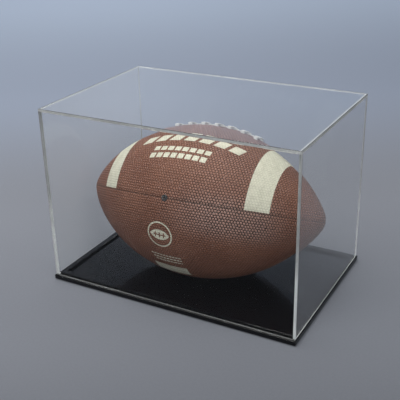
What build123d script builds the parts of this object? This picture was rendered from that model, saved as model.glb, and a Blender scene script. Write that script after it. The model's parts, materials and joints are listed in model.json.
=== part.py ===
"""Display case for an American football, with its football.

A five-sided clear acrylic cover stands on a black acrylic base plate and is located by four
strips bonded just inside its walls. A regulation-size football lies on the base plate.
Millimetres. Origin: centre of the footprint, on the surface that the case stands on.
+X runs along the case, +Y from front to back, +Z up.
"""
import os
from math import hypot

from build123d import *

# --- Case -----------------------------------------------------------------------------------
COVER_LENGTH = 300.0
COVER_DEPTH = 198.0
COVER_HEIGHT = 203.0
SHEET = 3.0                # clear acrylic sheet of the cover
BOND_LINE = 0.04           # film of solvent cement between two bonded sheets
EDGE_BREAK = 0.3           # polished arris on the outer edges of the cover sheets

BASE_OVERHANG = 1.5        # base plate beyond the cover, all round
BASE_THICKNESS = 5.0
BASE_EDGE_BREAK = 0.5

STRIP_WIDTH = 6.0
STRIP_HEIGHT = 3.0
STRIP_GAP = 0.7            # between a strip and the cover wall around it
STRIP_EDGE_BREAK = 0.3

FOOT_DIAMETER = 12.0
FOOT_HEIGHT = 1.0
FOOT_INSET = 20.0          # foot centre from the base plate's edges

# --- Football -------------------------------------------------------------------------------
BALL_LENGTH = 279.0
BALL_DIAMETER = 171.0
BALL_TIP_RADIUS = 20.0
BALL_SET_FORWARD = 7.0     # ball's centre in front of the case's centre
BALL_YAW = 4.0             # the ball lies slightly askew
BALL_LACE_TILT = -25.0     # lace seam leans to the back, about the ball's long axis
BALL_CLEARANCE = 0.3       # under the ball, so that it turns freely

PANEL_THICKNESS = 2.6
SEAM_GAP = 0.6
BLADDER_GAP = 0.2
BLADDER_THICKNESS = 1.0

LACE_BARS = 7
LACE_PITCH = 16.0
LACE_SHIFT = 5.0           # middle of the lace row from the ball's middle, towards +X
LACE_BAR_WIDTH = 4.6
LACE_SPAN = 24.0           # across the seam, over both legs
LACE_LEG = 2.6
LACE_THICKNESS = 1.6
LACE_HOLE_GAP = 0.25
LACE_CORD_WIDTH = 4.4
LACE_CORD_THICKNESS = 1.2
LACE_CORD_LIFT = 0.1       # between the lengthwise cord and the panels, and under the bars

VALVE_DIAMETER = 7.0
VALVE_PROUD = 0.3
VALVE_HOLE_GAP = 0.15
VALVE_NEEDLE_HOLE = 1.6
VALVE_NEEDLE_DEPTH = 2.4
VALVE_ALONG = -10.0

# --- Worked out -----------------------------------------------------------------------------
BASE_BOTTOM = FOOT_HEIGHT
BASE_TOP = BASE_BOTTOM + BASE_THICKNESS
BASE_LENGTH = COVER_LENGTH + 2 * BASE_OVERHANG
BASE_DEPTH = COVER_DEPTH + 2 * BASE_OVERHANG
WALL_HEIGHT = COVER_HEIGHT - SHEET
INNER_LENGTH = COVER_LENGTH - 2 * SHEET
INNER_DEPTH = COVER_DEPTH - 2 * SHEET

BALL_RADIUS = BALL_DIAMETER / 2
TIP_CENTRE = BALL_LENGTH / 2 - BALL_TIP_RADIUS
# The belly arc is tangent to the tip arcs: TIP_CENTRE^2 + (R - radius)^2 = (R - tip)^2
BELLY_ARC = (TIP_CENTRE**2 + BALL_RADIUS**2 - BALL_TIP_RADIUS**2) / (2 * (BALL_RADIUS - BALL_TIP_RADIUS))
BELLY_DROP = BELLY_ARC - BALL_RADIUS      # belly arc's centre below the ball's axis
BALL_HEIGHT = BASE_TOP + BALL_CLEARANCE + BALL_RADIUS
BALL_PLACE = (
    Location((0, -BALL_SET_FORWARD, BALL_HEIGHT), (0, 0, BALL_YAW)) * Location((0, 0, 0), (BALL_LACE_TILT, 0, 0))
)
LACE_OUT = LACE_CORD_THICKNESS + 2 * LACE_CORD_LIFT   # underside of the bars above the panels
BIG = 2 * BALL_LENGTH


def block(low, high):
    """A box between two corners."""
    size = [b - a for a, b in zip(low, high)]
    return Pos(*[(a + b) / 2 for a, b in zip(low, high)]) * Box(*size)


def arris(shape, width):
    """Breaks every edge of a box with a small chamfer."""
    return chamfer(shape.edges(), width)


# --- Base -----------------------------------------------------------------------------------
def base_plate():
    plate = block(
        (-BASE_LENGTH / 2, -BASE_DEPTH / 2, BASE_BOTTOM),
        (BASE_LENGTH / 2, BASE_DEPTH / 2, BASE_TOP),
    )
    return arris(plate, BASE_EDGE_BREAK)


def locating_strips():
    """Long strips run the full length inside the cover; short ones fit between them."""
    far_x = INNER_LENGTH / 2 - STRIP_GAP
    far_y = INNER_DEPTH / 2 - STRIP_GAP
    top = BASE_TOP + STRIP_HEIGHT
    side_y = far_y - STRIP_WIDTH
    places = {
        "front": ((-far_x, -far_y), (far_x, -far_y + STRIP_WIDTH)),
        "back": ((-far_x, far_y - STRIP_WIDTH), (far_x, far_y)),
        "left": ((-far_x, -side_y), (-far_x + STRIP_WIDTH, side_y)),
        "right": ((far_x - STRIP_WIDTH, -side_y), (far_x, side_y)),
    }
    return {
        f"locating_strip_{side}": arris(block((*low, BASE_TOP), (*high, top)), STRIP_EDGE_BREAK)
        for side, (low, high) in places.items()
    }


def base_feet():
    x = BASE_LENGTH / 2 - FOOT_INSET
    y = BASE_DEPTH / 2 - FOOT_INSET
    feet = []
    for sx in (-1, 1):
        for sy in (-1, 1):
            foot = Cylinder(FOOT_DIAMETER / 2, FOOT_HEIGHT)
            feet.append(Pos(sx * x, sy * y, FOOT_HEIGHT / 2) * foot)
    return Compound(children=feet)


# --- Cover ----------------------------------------------------------------------------------
def cover_panels():
    """The top lies on the four walls; the end walls stand between the front and the back."""
    x = COVER_LENGTH / 2
    y = COVER_DEPTH / 2
    wall_top = BASE_TOP + WALL_HEIGHT
    end_y = INNER_DEPTH / 2 - BOND_LINE
    places = {
        "top": ((-x, -y, wall_top + BOND_LINE), (x, y, BASE_TOP + COVER_HEIGHT)),
        "front": ((-x, -y, BASE_TOP), (x, -y + SHEET, wall_top)),
        "back": ((-x, y - SHEET, BASE_TOP), (x, y, wall_top)),
        "left": ((-x, -end_y, BASE_TOP), (-x + SHEET, end_y, wall_top)),
        "right": ((x - SHEET, -end_y, BASE_TOP), (x, end_y, wall_top)),
    }
    return {f"cover_{side}_panel": arris(block(low, high), EDGE_BREAK) for side, (low, high) in places.items()}


# --- Football -------------------------------------------------------------------------------
def ball_outline(outset):
    """Half of the ball's outline, above its axis, moved outwards by outset; ends on the axis."""
    tip = BALL_TIP_RADIUS + outset
    arc = BELLY_ARC + outset
    reach = hypot(TIP_CENTRE, BELLY_DROP)
    joint_x = TIP_CENTRE + tip * TIP_CENTRE / reach
    joint_z = tip * BELLY_DROP / reach
    end_x = TIP_CENTRE + tip
    # the middle of each tip arc, half way between the axis and the joint
    half_x = TIP_CENTRE / reach + 1
    half_z = BELLY_DROP / reach
    half = hypot(half_x, half_z)
    mid_x = TIP_CENTRE + tip * half_x / half
    mid_z = tip * half_z / half
    left_tip = ThreePointArc((-end_x, 0), (-mid_x, mid_z), (-joint_x, joint_z))
    belly = ThreePointArc((-joint_x, joint_z), (0, arc - BELLY_DROP), (joint_x, joint_z))
    right_tip = ThreePointArc((joint_x, joint_z), (mid_x, mid_z), (end_x, 0))
    return left_tip, belly, right_tip, end_x


def ball_layer(outer, inner):
    """A hollow body of revolution between two outsets of the ball's outline."""
    *outer_arcs, outer_end = ball_outline(outer)
    *inner_arcs, inner_end = ball_outline(inner)
    right = Line((outer_end, 0), (inner_end, 0))
    left = Line((-inner_end, 0), (-outer_end, 0))
    section = Plane.XZ * make_face([*outer_arcs, right, *inner_arcs, left])
    return revolve(section, Axis.X)


def lace_positions():
    first = LACE_SHIFT - LACE_PITCH * (LACE_BARS - 1) / 2
    return [first + LACE_PITCH * n for n in range(LACE_BARS)]


def lace_legs(grow=0.0):
    """Blocks that hold both legs of every bar, grown sideways by grow."""
    half = LACE_BAR_WIDTH / 2 + grow
    legs = []
    for x in lace_positions():
        for side in (-1, 1):
            near = side * (LACE_SPAN / 2 - LACE_LEG - grow)
            far = side * (LACE_SPAN / 2 + grow)
            legs.append(block((x - half, min(near, far), 0), (x + half, max(near, far), BIG)))
    return legs


def valve_rod(radius, outer, inner):
    """A rod on the valve's axis, square to the ball's surface, between two depths."""
    slope = VALVE_ALONG / BELLY_ARC
    surface = Vector(VALVE_ALONG, 0, BELLY_ARC * (1 - slope**2) ** 0.5 - BELLY_DROP)
    outwards = Vector(slope, 0, (1 - slope**2) ** 0.5)
    middle = surface + outwards * (outer + inner) / 2
    rod = Plane(origin=middle, z_dir=outwards) * Cylinder(radius, outer - inner)
    return Rot(90, 0, 0) * rod      # from the lace seam round to the front side seam


def football_panels():
    """Four panels, quarters of the ball's cover, with the lace seam on local +Z."""
    shell = ball_layer(0, -PANEL_THICKNESS)
    holes = lace_legs(LACE_HOLE_GAP)
    holes.append(valve_rod(VALVE_DIAMETER / 2 + VALVE_HOLE_GAP, VALVE_DIAMETER, -VALVE_DIAMETER))
    gap = SEAM_GAP / 2
    quarters = {
        "front_upper": ((-1, 0), (0, 1)),
        "front_lower": ((-1, 0), (-1, 0)),
        "back_upper": ((0, 1), (0, 1)),
        "back_lower": ((0, 1), (-1, 0)),
    }
    panels = {}
    for name, ((y0, y1), (z0, z1)) in quarters.items():
        low = (-BIG, y0 * BIG if y0 else gap, z0 * BIG if z0 else gap)
        high = (BIG, y1 * BIG if y1 else -gap, z1 * BIG if z1 else -gap)
        panels[f"football_panel_{name}"] = (shell & block(low, high)) - holes
    return panels


def football_bladder():
    outer = -PANEL_THICKNESS - BLADDER_GAP
    return ball_layer(outer, outer - BLADDER_THICKNESS)


def football_lace_bars():
    """Staples: a band across the seam, with a leg through the cover at each end."""
    band = ball_layer(LACE_OUT + LACE_THICKNESS, LACE_OUT)
    deep = ball_layer(LACE_OUT + LACE_THICKNESS, -PANEL_THICKNESS)
    half = LACE_BAR_WIDTH / 2
    bars = []
    for x, left, right in zip(lace_positions(), lace_legs()[0::2], lace_legs()[1::2]):
        across = block((x - half, -LACE_SPAN / 2, 0), (x + half, LACE_SPAN / 2, BIG))
        bars.append((band & across) + (deep & left) + (deep & right))
    return Compound(children=[solid for bar in bars for solid in bar.solids()])


def football_lace_cord():
    """The lengthwise strand that lies along the seam, under the bars."""
    layer = ball_layer(LACE_CORD_LIFT + LACE_CORD_THICKNESS, LACE_CORD_LIFT)
    places = lace_positions()
    start, end = places[0] - LACE_BAR_WIDTH, places[-1] + LACE_BAR_WIDTH
    return layer & block((start, -LACE_CORD_WIDTH / 2, 0), (end, LACE_CORD_WIDTH / 2, BIG))


def football_valve():
    plug = valve_rod(VALVE_DIAMETER / 2, VALVE_PROUD, -PANEL_THICKNESS)
    return plug - valve_rod(VALVE_NEEDLE_HOLE / 2, VALVE_DIAMETER, VALVE_PROUD - VALVE_NEEDLE_DEPTH)


def football():
    pieces = {
        **football_panels(),
        "football_bladder": football_bladder(),
        "football_lace_bars": football_lace_bars(),
        "football_lace_cord": football_lace_cord(),
        "football_valve": football_valve(),
    }
    return {name: BALL_PLACE * shape for name, shape in pieces.items()}


def main():
    nodes = {
        "base_plate": base_plate(),
        **locating_strips(),
        "base_feet": base_feet(),
        **cover_panels(),
        **football(),
    }
    os.makedirs("parts", exist_ok=True)
    for name, shape in nodes.items():
        export_step(shape, f"parts/{name}.step")


main()
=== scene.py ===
import json
from math import asin, cos, exp, hypot, pi, radians, sin, sqrt

import bpy
from mathutils import Matrix, Vector


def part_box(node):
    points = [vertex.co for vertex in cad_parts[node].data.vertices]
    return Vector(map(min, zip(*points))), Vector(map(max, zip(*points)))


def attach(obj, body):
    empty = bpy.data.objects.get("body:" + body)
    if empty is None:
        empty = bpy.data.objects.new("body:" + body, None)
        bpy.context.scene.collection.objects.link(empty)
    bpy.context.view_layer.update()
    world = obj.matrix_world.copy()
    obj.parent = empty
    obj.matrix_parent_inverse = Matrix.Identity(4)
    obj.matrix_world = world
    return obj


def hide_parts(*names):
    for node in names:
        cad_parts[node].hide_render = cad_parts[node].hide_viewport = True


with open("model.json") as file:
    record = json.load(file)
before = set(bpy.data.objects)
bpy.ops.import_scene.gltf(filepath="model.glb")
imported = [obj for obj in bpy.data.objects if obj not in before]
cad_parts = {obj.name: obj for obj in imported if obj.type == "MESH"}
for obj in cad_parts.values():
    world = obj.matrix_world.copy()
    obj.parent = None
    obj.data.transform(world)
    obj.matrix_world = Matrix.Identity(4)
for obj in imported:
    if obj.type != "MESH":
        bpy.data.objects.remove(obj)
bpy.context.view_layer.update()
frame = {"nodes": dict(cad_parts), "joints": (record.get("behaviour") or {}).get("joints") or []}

# --- Sizes of the football, in metres; the case's main sizes come from the frame ----------------
BALL_LENGTH = 0.279
BALL_RADIUS = 0.0855
TIP_RADIUS = 0.020
JOINTS = {joint["name"]: joint for joint in frame["joints"]}
BALL_CENTRE = Vector(JOINTS["football_turn"]["pos_m"])
BALL_TURN = (radians(-25), 0, radians(4))        # the lace seam leans back, and the ball lies askew
BALL_PLACE = (
    Matrix.Translation(BALL_CENTRE)
    @ Matrix.Rotation(BALL_TURN[2], 4, "Z")
    @ Matrix.Rotation(BALL_TURN[0], 4, "X")
)

TIP_CENTRE = BALL_LENGTH / 2 - TIP_RADIUS
BELLY_ARC = (TIP_CENTRE**2 + BALL_RADIUS**2 - TIP_RADIUS**2) / (2 * (BALL_RADIUS - TIP_RADIUS))
BELLY_DROP = BELLY_ARC - BALL_RADIUS             # the belly arc's centre below the ball's axis
PANEL_THICKNESS = 0.0026
LEATHER_THICKNESS = PANEL_THICKNESS - 0.0012     # thinner, so that the dipped seams clear the bladder
SEAM_HALF_GAP = 0.0001
SEAM_LIP_DEPTH = 0.0005                          # the leather rolls in sharply at a seam
SEAM_LIP_WIDTH = 0.00035
SEAM_VALLEY_DEPTH = 0.00028                      # and sinks a little over a wider strip
SEAM_VALLEY_WIDTH = 0.0035

LACE_BARS = 7
LACE_PITCH = 0.016
LACE_SHIFT = 0.005                               # the row's middle from the ball's middle
LACE_WIDTH = 0.0046
LACE_SPAN = 0.024
LACE_LEG = 0.0026
LACE_THICKNESS = 0.0016
LACE_UNDER = 0.0014                              # underside of a bar above the leather
LACE_ROUNDING = 0.0007
LACE_SLOT_GAP = 0.00025
LACE_SLOT_BOTTOM = 0.075                         # from the ball's axis: inside the leather
LACE_SLOT_TOP = 0.095                            # and outside it
LACE_CORD_WIDTH = 0.0044
LACE_CORD_THICKNESS = 0.0012
LACE_CORD_LIFT = 0.0001
LACE_CORD_ROUNDING = 0.0005
VALVE_ALONG = -0.010
VALVE_RADIUS = 0.0035
VALVE_PROUD = 0.0003
VALVE_HOLE_GAP = 0.00015
VALVE_HOLE_DEPTH = 0.02                          # half of it each way from the surface
NEEDLE_RADIUS = 0.0008
NEEDLE_DEPTH = 0.0024

PEBBLE_PITCH = 0.0032
RIB_PITCH = 0.0007                               # of the laces' weave
STRIPES = ((-0.100, -0.0795), (0.0725, 0.0955))  # from and to, along the ball's axis

# --- Sizes of the case's details ----------------------------------------------------------------
COVER_ARRIS = 0.0003                             # the broken edges of its sheets
PLATE_ARRIS = 0.0006
STRIP_ARRIS = 0.0004
SHEET_LIFT = 0.00005                             # a hair's breadth off what a sheet stands on
FOOT_RADIUS = 0.006

# --- Backdrop -----------------------------------------------------------------------------------
STAGE_WIDTH = 12.0
STAGE_FRONT = -2.6
STAGE_BACK = 3.0
STAGE_SWEEP = 0.9                                # radius between the floor and the wall
STAGE_WALL = 2.2                                 # above the sweep
PAPER_TURN = radians(28.99)                      # the painted light on the paper runs askew to the case
PAINTED_LIGHT_ON_PAPER = (                                  # distance beyond the case's middle, and the painted light there
    (-0.50, (0.050, 0.053, 0.060)),
    (-0.12, (0.150, 0.158, 0.178)),
    (0.20, (0.184, 0.193, 0.217)),
    (0.75, (0.230, 0.260, 0.322)),
    (1.90, (0.335, 0.385, 0.470)),
)

# --- Camera -------------------------------------------------------------------------------------
CAMERA_AIM = (-0.0049, -0.0083, 0.0936)
CAMERA_DISTANCE = 0.8592
CAMERA_AZIMUTH = 28.99
CAMERA_ELEVATION = 24.45
CAMERA_ROLL = -1.35
CAMERA_LENS = 67.76


# --- Modelling helpers --------------------------------------------------------------------------
def deselect():
    bpy.ops.object.select_all(action="DESELECT")


def finish_mesh(name):
    """Names the active object and moves its place, turn and scale into its mesh."""
    piece = bpy.context.object
    piece.name = name
    piece.data.name = name
    bpy.ops.object.transform_apply(location=True, rotation=True, scale=True)
    return piece


def pick(piece, kind, test):
    """Selects the vertices, edges or faces that pass a test, and goes to edit mode."""
    bpy.ops.object.mode_set(mode="OBJECT")
    mesh = piece.data
    for group in (mesh.vertices, mesh.edges, mesh.polygons):
        group.foreach_set("select", [False] * len(group))
    group = {"VERT": mesh.vertices, "EDGE": mesh.edges, "FACE": mesh.polygons}[kind]
    for element in group:
        element.select = test(element)
    bpy.ops.object.mode_set(mode="EDIT")
    bpy.ops.mesh.select_mode(type=kind)


def done(piece, angle=35):
    """Closes edit mode, points the faces outwards and shades the piece."""
    bpy.ops.object.mode_set(mode="EDIT")
    bpy.ops.mesh.select_all(action="SELECT")
    bpy.ops.mesh.remove_doubles(threshold=1e-7)
    bpy.ops.mesh.normals_make_consistent(inside=False)
    bpy.ops.object.mode_set(mode="OBJECT")
    deselect()
    piece.select_set(True)
    bpy.context.view_layer.objects.active = piece
    bpy.ops.object.shade_smooth_by_angle(angle=radians(angle))
    return piece


def modify(piece, kind, **settings):
    """Adds a modifier and applies it."""
    deselect()
    piece.select_set(True)
    bpy.context.view_layer.objects.active = piece
    modifier = piece.modifiers.new(kind.lower(), kind)
    for name, value in settings.items():
        setattr(modifier, name, value)
    bpy.ops.object.modifier_apply(modifier=modifier.name)


def block(name, low, high):
    """A box between two corners."""
    low, high = Vector(low), Vector(high)
    deselect()
    bpy.ops.mesh.primitive_cube_add(size=1, location=(low + high) / 2, scale=high - low)
    return finish_mesh(name)


def outline(name, points):
    """A line of vertices through points, drawn by extruding one vertex."""
    deselect()
    bpy.ops.mesh.primitive_plane_add(size=0.001, location=points[0])
    piece = finish_mesh(name)
    bpy.ops.object.mode_set(mode="EDIT")
    bpy.ops.mesh.select_mode(type="VERT")
    bpy.ops.mesh.select_all(action="SELECT")
    bpy.ops.mesh.merge(type="CENTER")
    for start, end in zip(points, points[1:]):
        bpy.ops.mesh.extrude_region_move(TRANSFORM_OT_translate={"value": Vector(end) - Vector(start)})
    return piece


def copy_of(piece, name, matrix):
    """A copy with its own mesh, moved by a matrix."""
    twin = piece.copy()
    twin.data = piece.data.copy()
    twin.name = name
    twin.data.name = name
    bpy.context.scene.collection.objects.link(twin)
    twin.data.transform(matrix)
    return twin


def settle(piece, body, slot, material, *nodes):
    """A finished piece: its finish, its body and the CAD nodes that it stands for."""
    indices = [face.material_index for face in piece.data.polygons]
    piece.data.materials.clear()
    for each in material if isinstance(material, list) else [material]:
        piece.data.materials.append(each)
    piece.data.polygons.foreach_set("material_index", indices)
    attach(piece, body)
    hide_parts(*nodes)
    return piece


# --- Shader helpers -----------------------------------------------------------------------------
class Number:
    """A socket in a material. Arithmetic on it adds Math nodes to that material."""

    def __init__(self, finish, socket):
        self.finish = finish
        self.socket = socket

    def math(self, operation, *others):
        values = dict(enumerate((self, *others)))
        return self.finish.add("Math", {"operation": operation}, values)

    def __add__(self, other):
        return self.math("ADD", other)

    __radd__ = __add__

    def __mul__(self, other):
        return self.math("MULTIPLY", other)

    __rmul__ = __mul__

    def __sub__(self, other):
        return self.math("SUBTRACT", other)

    def __rsub__(self, other):
        return self.finish.add("Math", {"operation": "SUBTRACT"}, {0: other, 1: self})

    def __truediv__(self, other):
        return self.math("DIVIDE", other)

    def __abs__(self):
        return self.math("ABSOLUTE")

    def __gt__(self, other):
        return self.math("GREATER_THAN", other)

    def __lt__(self, other):
        return self.math("LESS_THAN", other)

    def least(self, other):
        return self.math("MINIMUM", other)

    def most(self, other):
        return self.math("MAXIMUM", other)

    def part(self):
        """What is left over whole numbers."""
        return self.math("FRACT")

    def ramp(self, low, high, bottom=0.0, top=1.0):
        """Goes smoothly from bottom to top as the value goes from low to high."""
        settings = {"interpolation_type": "SMOOTHSTEP"}
        return self.finish.add("MapRange", settings, {0: self, 1: low, 2: high, 3: bottom, 4: top})

    def between(self, low, high, soft=0.0002):
        """1 from low to high, with soft ends."""
        return self.ramp(low - soft, low + soft) * self.ramp(high - soft, high + soft, 1.0, 0.0)


class Finish:
    """A material being made."""

    def __init__(self, name):
        self.material = bpy.data.materials.new(name)
        self.material.use_nodes = True
        self.tree = self.material.node_tree
        self.tree.nodes.clear()

    def node(self, kind, settings=None, inputs=None):
        """A node of a kind, with its settings, and the values or links of its sockets."""
        node = self.tree.nodes.new("ShaderNode" + kind)
        for name, value in (settings or {}).items():
            setattr(node, name, value)
        for key, value in (inputs or {}).items():
            if isinstance(value, Number):
                self.tree.links.new(value.socket, node.inputs[key])
            else:
                node.inputs[key].default_value = value
        return node

    def add(self, kind, settings=None, inputs=None, output=0):
        """One output of a new node."""
        return Number(self, self.node(kind, settings, inputs).outputs[output])

    def place(self):
        """The piece's own coordinates, in metres."""
        return self.add("TexCoord", output="Object")

    def split(self, vector):
        separate = self.node("SeparateXYZ", None, {0: vector})
        return [Number(self, socket) for socket in separate.outputs]

    def gather(self, x, y, z):
        return self.add("CombineXYZ", None, {0: x, 1: y, 2: z})

    def noise(self, vector, scale, detail=2.0, roughness=0.5):
        inputs = {"Vector": vector, "Scale": scale, "Detail": detail, "Roughness": roughness}
        return self.add("TexNoise", None, inputs, "Fac")

    def blend(self, factor, first, second):
        """A colour between two colours."""
        return self.add("Mix", {"data_type": "RGBA"}, {0: factor, 6: first, 7: second}, 2)

    def tinted(self, shade, factor):
        """A colour times a number."""
        grey = self.gather(factor, factor, factor)
        return self.add("VectorMath", {"operation": "MULTIPLY"}, {0: shade, 1: grey})

    def bump(self, height, distance, strength=1.0):
        return self.add("Bump", None, {"Height": height, "Distance": distance, "Strength": strength})

    def surface(self, shader):
        self.node("OutputMaterial", None, {"Surface": shader})
        return self.material

    def principled(self, **inputs):
        """The main shader; a socket's name is written with underscores."""
        named = {name.replace("_", " "): value for name, value in inputs.items()}
        return self.add("BsdfPrincipled", None, named)


def colour(red, green, blue):
    return (red, green, blue, 1.0)


# --- Finishes -----------------------------------------------------------------------------------
def acrylic_that_lets_light_in(finish, shader, tint):
    """Clear sheet that bends what is seen through it, and lets lamps shine through unbent."""
    to_lamp = finish.add("LightPath", output="Is Shadow Ray")
    scattered = finish.add("LightPath", output="Is Diffuse Ray")
    straight = to_lamp.most(scattered)
    open_air = finish.add("BsdfTransparent", None, {"Color": tint})
    mixed = finish.add("MixShader", None, {0: straight, 1: shader, 2: open_air})
    return finish.surface(mixed)


def clear_sheet(name, ior, clarity):
    """Cast acrylic: polished, with faint wiping marks and the long wave of a cast sheet."""
    finish = Finish(name)
    place = finish.place()
    wiped = finish.noise(place, 9.0, 4.0, 0.6)
    wave = finish.noise(place, 5.0, 1.0)
    shader = finish.principled(
        Base_Color=colour(0.98, 0.985, 0.985),
        Roughness=wiped.ramp(0.45, 0.75, 0.0, 0.035),
        IOR=ior,
        Transmission_Weight=clarity,
        Normal=finish.bump(wave, 0.0006, 0.15),
    )
    return acrylic_that_lets_light_in(finish, shader, colour(0.97, 0.975, 0.975))


def sawn_edge(name, painted_foot_light):
    """Edge of a sheet, frosted by fine saw marks, with painted light in its colour: brighter low down than
    high up.

    The last argument is how bright the painted light stays at the very bottom, on what the sheet stands on.
    """
    finish = Finish(name)
    place = finish.place()
    x, y, z = finish.split(place)
    saw_marks = finish.noise(finish.gather(x * 260, y * 260, z * 60), 1.0, 2.0)
    patches = finish.noise(place, 16.0, 3.0, 0.6)
    bubbles = finish.noise(place, 420.0, 1.0).ramp(0.66, 0.74)
    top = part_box("cover_top_panel")[1].z
    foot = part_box("cover_front_panel")[0].z
    # Painted light, not the edge's own colour: bright low down, dimmer high up, in random patches
    painted_edge_light = z.ramp(0.06, 0.12, 0.92, 0.55)
    painted_edge_light = painted_edge_light * z.ramp(top - 0.0006, top - 0.0002, 1.0, 0.12)      # painted shade on the lid's upper arris
    painted_edge_light = painted_edge_light * z.ramp(foot + 0.0001, foot + 0.0006, painted_foot_light, 1.0)
    painted_edge_light = painted_edge_light * patches.ramp(0.35, 0.68, 0.78, 1.05) * saw_marks.ramp(0.3, 0.7, 0.9, 1.0)
    painted_edge_light = painted_edge_light + bubbles * 0.2
    shader = finish.principled(
        Base_Color=finish.blend(painted_edge_light, colour(0.02, 0.02, 0.02), colour(0.92, 0.94, 0.925)),
        Roughness=patches.ramp(0.35, 0.65, 0.3, 0.45),
        IOR=1.01,
        Normal=finish.bump(saw_marks, 0.0001, 0.3),
    )
    return finish.surface(shader)


def black_sheet():
    """Black acrylic: glossy, with a little dust and hairline scratches."""
    finish = Finish("black_acrylic")
    place = finish.place()
    x, y, z = finish.split(place)
    dust = finish.noise(place, 1400.0, 2.0, 0.7).ramp(0.7, 0.8)
    haze = finish.noise(place, 14.0, 4.0, 0.6)
    scratches = finish.noise(finish.gather(x * 30, y * 900, z * 30), 1.0, 3.0)
    shader = finish.principled(
        Base_Color=finish.blend(dust * 0.02, colour(0.0010, 0.0012, 0.0018), colour(0.08, 0.08, 0.085)),
        Roughness=haze.ramp(0.4, 0.7, 0.11, 0.14) + dust * 0.05,
        IOR=1.49,
        Specular_IOR_Level=0.40,
        Normal=finish.bump(scratches, 0.00002, 0.1),
    )
    return finish.surface(shader)


def rubber(name, shade, grain):
    """Moulded rubber: matt, with a fine grain and a bloom in places."""
    finish = Finish(name)
    place = finish.place()
    speckle = finish.noise(place, grain, 3.0, 0.6)
    bloom = finish.noise(place, grain / 20, 3.0)
    dark = colour(shade, shade, shade * 1.04)
    pale = colour(shade * 2.2, shade * 2.2, shade * 2.2)
    shader = finish.principled(
        Base_Color=finish.blend(bloom.ramp(0.45, 0.8), dark, pale),
        Roughness=speckle.ramp(0.3, 0.7, 0.5, 0.72),
        Normal=finish.bump(speckle, 0.0002, 0.5),
    )
    return finish.surface(shader)


def ball_point(finish):
    """Places along the ball's own axes: its length, front to back, and up through the laces."""
    settings = {"vector_type": "TEXTURE"}
    inputs = {"Vector": finish.place(), "Location": BALL_CENTRE, "Rotation": BALL_TURN}
    return finish.split(finish.add("Mapping", settings, inputs))


def pebbles(along, across):
    """Domes on a triangular grid: 1 at the top of each, 0 in the grooves."""
    step, row = PEBBLE_PITCH, PEBBLE_PITCH * sqrt(3)

    def squared(offset):
        left = ((along / step + offset).part() - 0.5) * step
        side = ((across / row + offset).part() - 0.5) * row
        return left * left + side * side

    nearest = squared(0.0).least(squared(0.5))
    reach = step * 0.52                          # a dome's radius: neighbours just overlap
    return (1 - nearest / reach**2).most(0.0)


def blocks_in_a_row(along, across, start, end, bottom, top, pitch, share, lean=0.0):
    """Plain blocks side by side, each leaning by lean."""
    shifted = along - (across - bottom) * lean
    inside = ((shifted - start) / pitch).part()
    bars = inside.between(0.5 - share / 2, 0.5 + share / 2, 0.03)
    return bars * shifted.between(start, end) * across.between(bottom, top)


def print_on_upper_panel(along, across):
    """A leaning row of blocks over two small upright rows."""
    raised = across + along * along * 1.1       # the big row bows up in the middle
    big = blocks_in_a_row(along, raised, -0.066, 0.056, 0.0052, 0.0166, 0.0174, 0.74, 0.45)
    small = blocks_in_a_row(along, across, -0.042, 0.027, -0.0115, -0.0055, 0.0086, 0.78, 0.1)
    low = blocks_in_a_row(along, across, -0.044, 0.025, -0.0215, -0.0150, 0.0086, 0.78, 0.1)
    return big.most(small).most(low)


def print_on_lower_panel(along, across):
    """A ring round the outline of a ball, three lines of dashes and a plain label."""
    x, y = along + 0.0138, across - 0.0255
    ring = (x * x + y * y).math("SQRT").between(0.0134, 0.0150)
    arc_radius, arc_offset = 0.0145, 0.0085      # two arcs make the ball's pointed ellipse
    top = (x * x + (y + arc_offset) * (y + arc_offset)).math("SQRT")
    bottom = (x * x + (y - arc_offset) * (y - arc_offset)).math("SQRT")
    ball = top.most(bottom).between(-1.0, arc_radius)
    half_row, tick_pitch = 0.0075, 0.005
    row = x.between(-half_row, half_row)
    stitch = row * abs(y).between(-1.0, 0.0007)
    ticks = ((x + half_row) / tick_pitch).part().between(0.35, 0.65, 0.05)
    ticks = ticks * row * abs(y).between(-1.0, 0.0028)
    ring = ring.most(ball - stitch.most(ticks))
    dashes = 0.0
    for line in range(3):
        start = -0.029 + line * 0.002
        height = -0.0035 - line * 0.0044
        pitch = 0.0037 + line * 0.0004
        dashes = dashes + blocks_in_a_row(along, across, start, 0.008, height, height + 0.0017, pitch, 0.8)
    label = along.between(-0.030, 0.010) * across.between(-0.040, -0.021)
    lines = ((across + 0.040) / 0.0065).part().between(0.42, 0.6, 0.06) * along.between(-0.026, 0.006)
    return ring.most(dashes).most(label * (1 - lines * 0.45))


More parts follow.
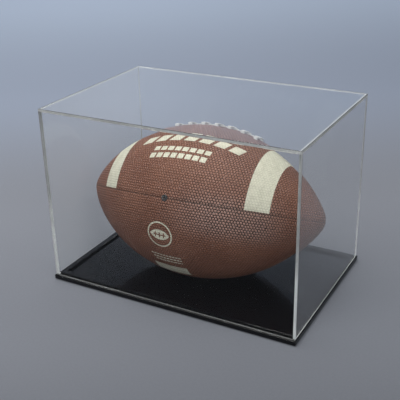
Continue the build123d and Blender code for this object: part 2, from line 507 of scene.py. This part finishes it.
def ball_leather():
    """Pebbled brown cover with cream stripes and plain printed shapes."""
    finish = Finish("ball_leather")
    x, y, z = ball_point(finish)
    radius = (y * y + z * z).math("SQRT")
    angle = y.math("ARCTAN2", z)                 # 0 at the lace seam, positive to the back
    quarter = ((angle + 2 * pi) / (pi / 2)).part() - 0.5
    drift = finish.noise(finish.place(), 60.0, 1.0) * 0.0006
    jitter = finish.noise(finish.place(), 330.0, 1.0) * 0.0016
    along = (x / BELLY_ARC).math("ARCSINE") * BELLY_ARC
    across = quarter * (pi / 2) * radius
    from_side_seam = (z / radius).math("ARCSINE") * radius
    grain = pebbles(along + drift + jitter, from_side_seam + drift - jitter)
    from_seam = abs(y).least(abs(z))

    upper = z > 0.0
    front = y < 0.0
    stripe = x.between(*STRIPES[0], 0.0003).most(x.between(*STRIPES[1], 0.0003)) * upper
    marks = print_on_upper_panel(along, across) * upper + print_on_lower_panel(along, across) * (1 - upper)
    ink = stripe.most(marks * front) * from_seam.ramp(0.0006, 0.0012)

    blotches = finish.noise(finish.place(), 22.0, 4.0, 0.6)
    worn = finish.noise(finish.place(), 130.0, 3.0, 0.6)
    # A patch of painted sheen on the lower front: greyer, with brighter pebble tops and darker grooves
    painted_sheen = x.ramp(-0.03, 0.05) * x.ramp(0.085, 0.12, 1.0, 0.25) * from_side_seam.ramp(-0.045, -0.02)
    painted_sheen = painted_sheen * from_side_seam.ramp(-0.002, 0.02, 1.0, 0.45)
    brown = finish.blend(blotches.ramp(0.3, 0.7), colour(0.146, 0.055, 0.030), colour(0.190, 0.080, 0.047))
    brown = finish.blend(painted_sheen * 0.6, brown, colour(0.160, 0.110, 0.096))
    # Painted shade in the grooves between pebbles and painted light on their tops, then painted shade along
    # the seams
    painted_groove_shade = grain.ramp(0.0, 0.55, 0.5, 1.12) * (1 - painted_sheen) + grain.ramp(0.05, 0.8, 0.0, 2.0) * painted_sheen
    brown = finish.tinted(brown, painted_groove_shade * from_seam.ramp(0.0003, 0.0020, 0.70, 1.0))
    cream = finish.blend(worn.ramp(0.35, 0.75), colour(0.62, 0.60, 0.475), colour(0.53, 0.51, 0.395))
    # Painted shade in the grooves of the cream too
    cream = finish.tinted(cream, grain.ramp(0.0, 0.6, 0.86, 1.0))
    height = grain * (1 - ink * 0.45) + worn * 0.12
    shader = finish.principled(
        Base_Color=finish.blend(ink, brown, cream),
        Roughness=grain.ramp(0.0, 1.0, 0.6, 0.34) + blotches * 0.08 + ink * 0.08,
        Specular_IOR_Level=0.36,
        Normal=finish.bump(height, 0.0008, 1.0),
    )
    return finish.surface(shader)


def lace_weave():
    """Woven cotton lace: fine ribs both ways, darker in the hollows between them, and grubby in patches."""
    finish = Finish("lace_weave")
    x, y, _ = ball_point(finish)
    turn = 2 * pi / RIB_PITCH
    ribs = ((x + y * 0.6) * turn).math("SINE") * ((x - y * 0.6) * turn).math("SINE")
    fibres = finish.noise(finish.place(), 2500.0, 2.0)
    grime = finish.noise(finish.place(), 160.0, 3.0)
    clean = finish.blend(grime.ramp(0.4, 0.8), colour(0.86, 0.86, 0.83), colour(0.66, 0.64, 0.58))
    shader = finish.principled(
        Base_Color=finish.tinted(clean, ribs.ramp(-1.0, 0.6, 0.75, 1.0)),
        Roughness=fibres.ramp(0.2, 0.8, 0.78, 0.95),
        Sheen_Weight=0.3,
        Normal=finish.bump(ribs * 0.5 + fibres * 0.5, 0.0002, 0.8),
    )
    return finish.surface(shader)


def backdrop_paper():
    """Grey paper with painted light: darker near the front, paler and cooler with distance and up the sweep.
    """
    finish = Finish("backdrop_paper")
    x, y, z = finish.split(finish.place())
    ahead = y * cos(PAPER_TURN) - x * sin(PAPER_TURN)
    aside = x * cos(PAPER_TURN) + y * sin(PAPER_TURN)
    fibres = finish.noise(finish.place(), 400.0, 3.0)
    # Painted light on the floor: dark near the front, brighter and cooler further back
    tone = colour(*PAINTED_LIGHT_ON_PAPER[0][1])
    for (start, _), (end, shade) in zip(PAINTED_LIGHT_ON_PAPER, PAINTED_LIGHT_ON_PAPER[1:]):
        tone = finish.blend(ahead.ramp(start, end), tone, colour(*shade))
    # Painted light up the sweep: paler and cooler, brighter to the left
    painted_wall_light = finish.blend(aside.ramp(-1.6, 1.0), colour(0.66, 0.69, 0.75), colour(0.32, 0.36, 0.43))
    tone = finish.blend(z.ramp(0.2, 1.0), tone, painted_wall_light)
    # The fibres vary the paper at random; the rest is painted light falling off from left to right
    fibres_and_painted_falloff = fibres.ramp(0.2, 0.8, 0.97, 1.03) * aside.ramp(-0.7, 0.7, 1.07, 0.91)
    shader = finish.principled(
        Base_Color=finish.tinted(tone, fibres_and_painted_falloff),
        Roughness=0.9,
        Specular_IOR_Level=0.2,
    )
    return finish.surface(shader)


# --- Case ---------------------------------------------------------------------------------------
def sheet(node, edge_break, has_edge_finish=False):
    """A sheet of acrylic with rounded arrises; its narrow sides can have a second finish."""
    low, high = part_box(node)
    low.z += SHEET_LIFT
    piece = block(node + "_sheet", low, high)
    thin = min(range(3), key=lambda axis: high[axis] - low[axis])
    bpy.ops.object.mode_set(mode="EDIT")
    bpy.ops.mesh.select_all(action="SELECT")
    bpy.ops.mesh.bevel(offset=edge_break, segments=2, affect="EDGES")
    done(piece, 12)
    if has_edge_finish:
        for face in piece.data.polygons:
            face.material_index = 0 if abs(face.normal[thin]) > 0.9 else 1
    return piece


def make_cover():
    plain = clear_sheet("clear_acrylic", 1.49, 1.0)
    sheets = {                                       # a lower index glares less; the left is haziest
        "front": clear_sheet("clear_acrylic_front", 1.22, 1.0),
        "back": clear_sheet("clear_acrylic_back", 1.25, 1.0),
        "left": clear_sheet("clear_acrylic_left", 1.22, 0.92),
        "right": clear_sheet("clear_acrylic_right", 1.45, 0.995),
    }
    # Two copies of the edge with painted light: the front's is painted much darker at its foot
    edge = sawn_edge("clear_acrylic_edge", 0.85)
    front_edge = sawn_edge("clear_acrylic_front_edge", 0.14)
    for side in ("top", "front", "back", "left", "right"):
        node = f"cover_{side}_panel"
        finishes = [sheets.get(side, plain), front_edge if side == "front" else edge]
        settle(sheet(node, COVER_ARRIS, True), "cover", "clear_acrylic", finishes, node)


def make_base():
    black = black_sheet()
    plate = sheet("base_plate", PLATE_ARRIS)
    settle(plate, "base", "black_acrylic", black, "base_plate")
    for side in ("front", "back", "left", "right"):
        node = f"locating_strip_{side}"
        strip = sheet(node, STRIP_ARRIS)
        settle(strip, "base", "black_acrylic", black, node)


def make_feet():
    """Round bumpers with a rounded rim and a dished underside."""
    low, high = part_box("base_feet")
    depth, middle = high.z - low.z, (low.z + high.z) / 2
    rounding, rim, dish_slope, dish_depth = 0.0004, 0.0018, 0.0006, 0.0003
    deselect()
    bpy.ops.mesh.primitive_cylinder_add(vertices=48, radius=FOOT_RADIUS, depth=depth, location=(0, 0, middle))
    foot = finish_mesh("foot")
    pick(foot, "FACE", lambda face: face.normal.z < -0.9)
    bpy.ops.mesh.bevel(offset=rounding, segments=3, affect="EDGES")
    pick(foot, "FACE", lambda face: face.normal.z < -0.9 and face.area > 1e-5)
    bpy.ops.mesh.inset(thickness=rim)
    bpy.ops.mesh.inset(thickness=dish_slope)
    bpy.ops.transform.translate(value=(0, 0, dish_depth))
    done(foot)
    finish = rubber("foot_rubber", 0.022, 2600.0)
    for y_name, y in (("front", low.y + FOOT_RADIUS), ("back", high.y - FOOT_RADIUS)):
        for x_name, x in (("left", low.x + FOOT_RADIUS), ("right", high.x - FOOT_RADIUS)):
            each = copy_of(foot, f"foot_{y_name}_{x_name}", Matrix.Translation((x, y, 0)))
            settle(each, "base", "foot_rubber", finish, "base_feet")
    bpy.data.objects.remove(foot)


# --- Football -----------------------------------------------------------------------------------
def ball_radius_at(x):
    """The ball's radius at a distance from its middle."""
    reach = hypot(TIP_CENTRE, BELLY_DROP)
    if abs(x) < TIP_CENTRE + TIP_RADIUS * TIP_CENTRE / reach:
        return sqrt(BELLY_ARC**2 - x * x) - BELLY_DROP
    return sqrt(max(TIP_RADIUS**2 - (abs(x) - TIP_CENTRE) ** 2, 0.0))


def ball_profile(stations, scale):
    """Points along the ball's outline from tip to tip, closer together at the tips."""
    points = []
    for n in range(stations + 1):
        x = -BALL_LENGTH / 2 * cos(pi * n / stations)
        points.append((x, 0, ball_radius_at(x) * scale))
    return points


def belly_turn(x):
    """Moves a thing from the ball's middle along the lace seam by an axial distance."""
    pivot = Vector((0, 0, -BELLY_DROP))
    turn = Matrix.Rotation(asin(x / BELLY_ARC), 4, "Y")
    return Matrix.Translation(pivot) @ turn @ Matrix.Translation(-pivot)


def lace_places():
    first = LACE_SHIFT - LACE_PITCH * (LACE_BARS - 1) / 2
    return [first + LACE_PITCH * n for n in range(LACE_BARS)]


def lace_slots():
    """Blocks that cut the slots for the laces' legs."""
    slots = []
    half = LACE_WIDTH / 2 + LACE_SLOT_GAP
    for x in lace_places():
        for side in (-1, 1):
            near = side * (LACE_SPAN / 2 - LACE_LEG - LACE_SLOT_GAP)
            far = side * (LACE_SPAN / 2 + LACE_SLOT_GAP)
            low = (-half, min(near, far), LACE_SLOT_BOTTOM)
            high = (half, max(near, far), LACE_SLOT_TOP)
            slot = block("slot", low, high)
            slot.data.transform(belly_turn(x))
            slots.append(slot)
    deselect()
    for slot in slots:
        slot.select_set(True)
    bpy.context.view_layer.objects.active = slots[0]
    bpy.ops.object.join()
    return bpy.context.object


def valve_place():
    """The valve's place: on the front side seam, square to the surface."""
    outwards = Matrix.Translation((0, 0, BALL_RADIUS))
    return Matrix.Rotation(pi / 2, 4, "X") @ belly_turn(VALVE_ALONG) @ outwards


def seam_drop(distance):
    """How far the leather dips at a distance from the seam: a tight lip in a shallow valley."""
    lip = SEAM_LIP_DEPTH * exp(-distance / SEAM_LIP_WIDTH)
    return lip + SEAM_VALLEY_DEPTH * exp(-distance / SEAM_VALLEY_WIDTH)


def quarter_of_cover():
    """One panel: the ball's outline spun through a quarter turn, row by row, with dipped edges."""
    half_turn = pi / 4 - SEAM_HALF_GAP / BALL_RADIUS
    half_arc = half_turn * BALL_RADIUS
    near = [0.0, 0.0001, 0.0003, 0.0006, 0.001, 0.0016, 0.0026, 0.0042, 0.0065]     # close at a seam
    inner_rows = 24
    inner = [near[-1] + (half_arc - near[-1]) * n / inner_rows for n in range(1, inner_rows + 1)]
    rows = near + inner
    rows += [2 * half_arc - row for row in reversed(rows[:-1])]

    def scale(row):
        return 1 - seam_drop(min(row, 2 * half_arc - row)) / BALL_RADIUS

    stations = 120
    quarter = outline("quarter", ball_profile(stations, scale(rows[0])))
    bpy.ops.mesh.select_all(action="SELECT")
    for last, row in zip(rows, rows[1:]):
        bpy.ops.mesh.spin(steps=1, angle=(row - last) / BALL_RADIUS, center=(0, 0, 0), axis=(1, 0, 0))
        grow = scale(row) / scale(last)
        bpy.ops.transform.resize(value=(1, grow, grow), center_override=(0, 0, 0))
    bpy.ops.mesh.select_all(action="SELECT")
    bpy.ops.mesh.remove_doubles(threshold=1e-6)
    bpy.ops.mesh.normals_make_consistent(inside=False)
    bpy.ops.object.mode_set(mode="OBJECT")
    widest = max(quarter.data.polygons, key=lambda face: face.area)
    if widest.normal.dot(Vector((0, widest.center.y, widest.center.z))) < 0:
        bpy.ops.object.mode_set(mode="EDIT")
        bpy.ops.mesh.flip_normals()
        bpy.ops.object.mode_set(mode="OBJECT")
    modify(quarter, "SOLIDIFY", thickness=LEATHER_THICKNESS, offset=-1)
    return quarter


def make_panels(leather):
    """The four panels, with slots for the laces and a hole for the valve."""
    quarter = quarter_of_cover()
    slots = lace_slots()
    deselect()
    hole_radius = VALVE_RADIUS + VALVE_HOLE_GAP
    bpy.ops.mesh.primitive_cylinder_add(vertices=40, radius=hole_radius, depth=VALVE_HOLE_DEPTH)
    valve_hole = finish_mesh("valve_hole")
    valve_hole.data.transform(valve_place())
    for turns, name in enumerate(("back_upper", "back_lower", "front_lower", "front_upper")):
        turn = -SEAM_HALF_GAP / BALL_RADIUS - turns * pi / 2
        panel = copy_of(quarter, f"football_cover_{name}", Matrix.Rotation(turn, 4, "X"))
        if name.endswith("upper"):
            modify(panel, "BOOLEAN", operation="DIFFERENCE", solver="EXACT", object=slots)
        if name.startswith("front"):
            modify(panel, "BOOLEAN", operation="DIFFERENCE", solver="FAST", object=valve_hole)
        done(panel, 40)
        panel.data.transform(BALL_PLACE)
        settle(panel, "football", "ball_leather", leather, f"football_panel_{name}")
    for tool in (quarter, slots, valve_hole):
        bpy.data.objects.remove(tool)


def lace_bar():
    """A flat woven band over the seam, with a leg straight down at each end."""
    under = BALL_RADIUS + LACE_UNDER
    half = LACE_WIDTH / 2
    reach = asin((LACE_SPAN / 2 - LACE_LEG) / under)
    leg = asin(LACE_SPAN / 2 / under) - reach
    top = under + LACE_THICKNESS
    bar = outline("bar", [(-half, 0, under), (half, 0, under), (half, 0, top), (-half, 0, top)])
    bpy.ops.mesh.select_all(action="SELECT")
    bpy.ops.mesh.edge_face_add()
    bpy.ops.transform.rotate(value=-reach - leg, orient_axis="X", center_override=(0, 0, 0))
    for steps, angle in ((1, leg), (10, 2 * reach), (1, leg)):
        bpy.ops.mesh.spin(steps=steps, angle=angle, center=(0, 0, 0), axis=(1, 0, 0))
    bpy.ops.mesh.select_all(action="SELECT")
    bpy.ops.mesh.remove_doubles(threshold=1e-6)
    bpy.ops.mesh.normals_make_consistent(inside=False)
    for side in (-1, 1):
        middle = side * LACE_SPAN / 2 - side * LACE_LEG / 2
        down = (0, 0, -LACE_UNDER - PANEL_THICKNESS)
        pick(bar, "FACE", lambda face: face.normal.z < -0.9 and abs(face.center.y - middle) < LACE_LEG / 3)
        bpy.ops.mesh.extrude_region_move(TRANSFORM_OT_translate={"value": down})
    done(bar)
    modify(bar, "BEVEL", width=LACE_ROUNDING, segments=4, limit_method="ANGLE", angle_limit=radians(50))
    return bar


def make_lace_bars(weave):
    """The bars across the seam, one after another along the belly's arc."""
    bar = lace_bar()
    for n, x in enumerate(lace_places()):
        each = copy_of(bar, f"lace_bar_{n + 1}", BALL_PLACE @ belly_turn(x))
        done(each, 60)
        settle(each, "football", "lace_white", weave, "football_lace_bars")
    bpy.data.objects.remove(bar)


def make_lace_cord(weave):
    """The lengthwise strand: its section spun along the belly's arc."""
    start, end = lace_places()[0] - LACE_WIDTH, lace_places()[-1] + LACE_WIDTH
    low = BALL_RADIUS + LACE_CORD_LIFT
    half, high = LACE_CORD_WIDTH / 2, low + LACE_CORD_THICKNESS
    cord = outline("lace_cord", [(0, -half, low), (0, half, low), (0, half, high), (0, -half, high)])
    bpy.ops.mesh.select_all(action="SELECT")
    bpy.ops.mesh.edge_face_add()
    bpy.ops.object.mode_set(mode="OBJECT")
    cord.data.transform(belly_turn(start))
    bpy.ops.object.mode_set(mode="EDIT")
    bpy.ops.mesh.select_all(action="SELECT")
    turn = asin(end / BELLY_ARC) - asin(start / BELLY_ARC)
    bpy.ops.mesh.spin(steps=48, angle=-turn, center=(0, 0, -BELLY_DROP), axis=(0, 1, 0))
    done(cord)
    modify(cord, "BEVEL", width=LACE_CORD_ROUNDING, segments=3, limit_method="ANGLE", angle_limit=radians(50))
    done(cord, 60)
    cord.data.transform(BALL_PLACE)
    settle(cord, "football", "lace_white", weave, "football_lace_cord")


def make_valve():
    """A rubber plug with a rounded rim, a dish and the needle's hole."""
    depth = VALVE_PROUD + PANEL_THICKNESS
    rounding, rim, dish_slope, dish_depth = 0.0005, 0.0004, 0.0003, 0.00025
    to_needle_hole = VALVE_RADIUS - rounding - rim - dish_slope - NEEDLE_RADIUS
    deselect()
    bpy.ops.mesh.primitive_cylinder_add(vertices=40, radius=VALVE_RADIUS, depth=depth)
    valve = finish_mesh("football_valve_plug")
    valve.data.transform(Matrix.Translation((0, 0, VALVE_PROUD - depth / 2)))
    pick(valve, "FACE", lambda face: face.normal.z > 0.9)
    bpy.ops.mesh.bevel(offset=rounding, segments=3, affect="EDGES")
    pick(valve, "FACE", lambda face: face.normal.z > 0.9 and face.area > 1e-5)
    bpy.ops.mesh.inset(thickness=rim)
    bpy.ops.mesh.inset(thickness=dish_slope)
    bpy.ops.transform.translate(value=(0, 0, -dish_depth))
    bpy.ops.mesh.inset(thickness=to_needle_hole)
    bpy.ops.mesh.extrude_region_move(TRANSFORM_OT_translate={"value": (0, 0, -NEEDLE_DEPTH)})
    done(valve)
    valve.data.transform(BALL_PLACE @ valve_place())
    settle(valve, "football", "valve_rubber", rubber("valve_rubber", 0.018, 1800.0), "football_valve")


def finish_bladder():
    """The bladder stays the CAD's own body, because the leather hides it."""
    bladder = frame["nodes"]["football_bladder"]
    bladder.data.materials.clear()
    bladder.data.materials.append(rubber("bladder_rubber", 0.02, 900.0))


def make_football():
    make_panels(ball_leather())
    weave = lace_weave()
    make_lace_bars(weave)
    make_lace_cord(weave)
    make_valve()
    finish_bladder()


# --- Stage, light and camera --------------------------------------------------------------------
def make_stage():
    """A floor that sweeps up into a backdrop far behind the case."""
    deselect()
    bpy.ops.mesh.primitive_plane_add(size=1, location=(0, (STAGE_FRONT + STAGE_BACK) / 2, 0))
    bpy.context.object.scale = (STAGE_WIDTH, STAGE_BACK - STAGE_FRONT, 1)
    floor = finish_mesh("backdrop")
    pick(floor, "EDGE", lambda edge: all(floor.data.vertices[v].co.y > 0 for v in edge.vertices))
    bpy.ops.mesh.spin(steps=24, angle=-pi / 2, center=(0, STAGE_BACK, STAGE_SWEEP), axis=(1, 0, 0))
    bpy.ops.mesh.extrude_region_move(TRANSFORM_OT_translate={"value": (0, 0, STAGE_WALL)})
    done(floor, 60)
    floor.data.materials.append(backdrop_paper())


def softbox(name, place, aim, size, watts, tone):
    """A rectangular lamp at a place, turned towards its aim."""
    lamp = bpy.data.lights.new(name, "AREA")
    lamp.shape = "RECTANGLE"
    lamp.size, lamp.size_y = size
    lamp.energy = watts
    lamp.color = tone
    holder = bpy.data.objects.new(name, lamp)
    bpy.context.scene.collection.objects.link(holder)
    holder.location = place
    holder.rotation_euler = (Vector(aim) - Vector(place)).to_track_quat("-Z", "Y").to_euler()


def make_light():
    warm, cool, coolest = (1.0, 0.99, 0.97), (0.97, 0.98, 1.0), (0.96, 0.98, 1.0)
    softbox("overhead_softbox", (-0.2, -0.3, 1.9), (0, 0.1, 0), (2.0, 1.6), 42, warm)
    softbox("left_softbox", (-1.9, -1.2, 1.1), (0, 0, 0.1), (1.4, 1.6), 9, cool)
    softbox("right_softbox", (1.8, -1.0, 1.2), (0, 0, 0.1), (0.9, 1.2), 14, cool)
    softbox("front_softbox", (0.5, -2.3, 0.9), (0, 0, 0.1), (2.2, 1.0), 10, warm)
    softbox("backdrop_softbox", (-1.6, 2.4, 2.4), (-1.8, 3.0, 0), (4.4, 1.2), 66, coolest)
    world = bpy.data.worlds.new("studio")
    world.use_nodes = True
    background = world.node_tree.nodes["Background"]
    background.inputs["Color"].default_value = colour(0.30, 0.33, 0.38)
    background.inputs["Strength"].default_value = 0.6
    bpy.context.scene.world = world
    bpy.context.scene.view_settings.view_transform = "Standard"


def make_camera():
    camera = bpy.data.cameras.new("camera")
    camera.lens = CAMERA_LENS
    holder = bpy.data.objects.new("camera", camera)
    bpy.context.scene.collection.objects.link(holder)
    turn = (
        Matrix.Rotation(radians(CAMERA_AZIMUTH), 4, "Z")
        @ Matrix.Rotation(radians(90 - CAMERA_ELEVATION), 4, "X")
        @ Matrix.Rotation(radians(CAMERA_ROLL), 4, "Z")
    )
    back_off = Matrix.Translation((0, 0, CAMERA_DISTANCE))
    holder.matrix_world = Matrix.Translation(CAMERA_AIM) @ turn @ back_off
    bpy.context.scene.camera = holder


make_camera()
make_stage()
make_light()
make_base()
make_feet()
make_cover()
make_football()
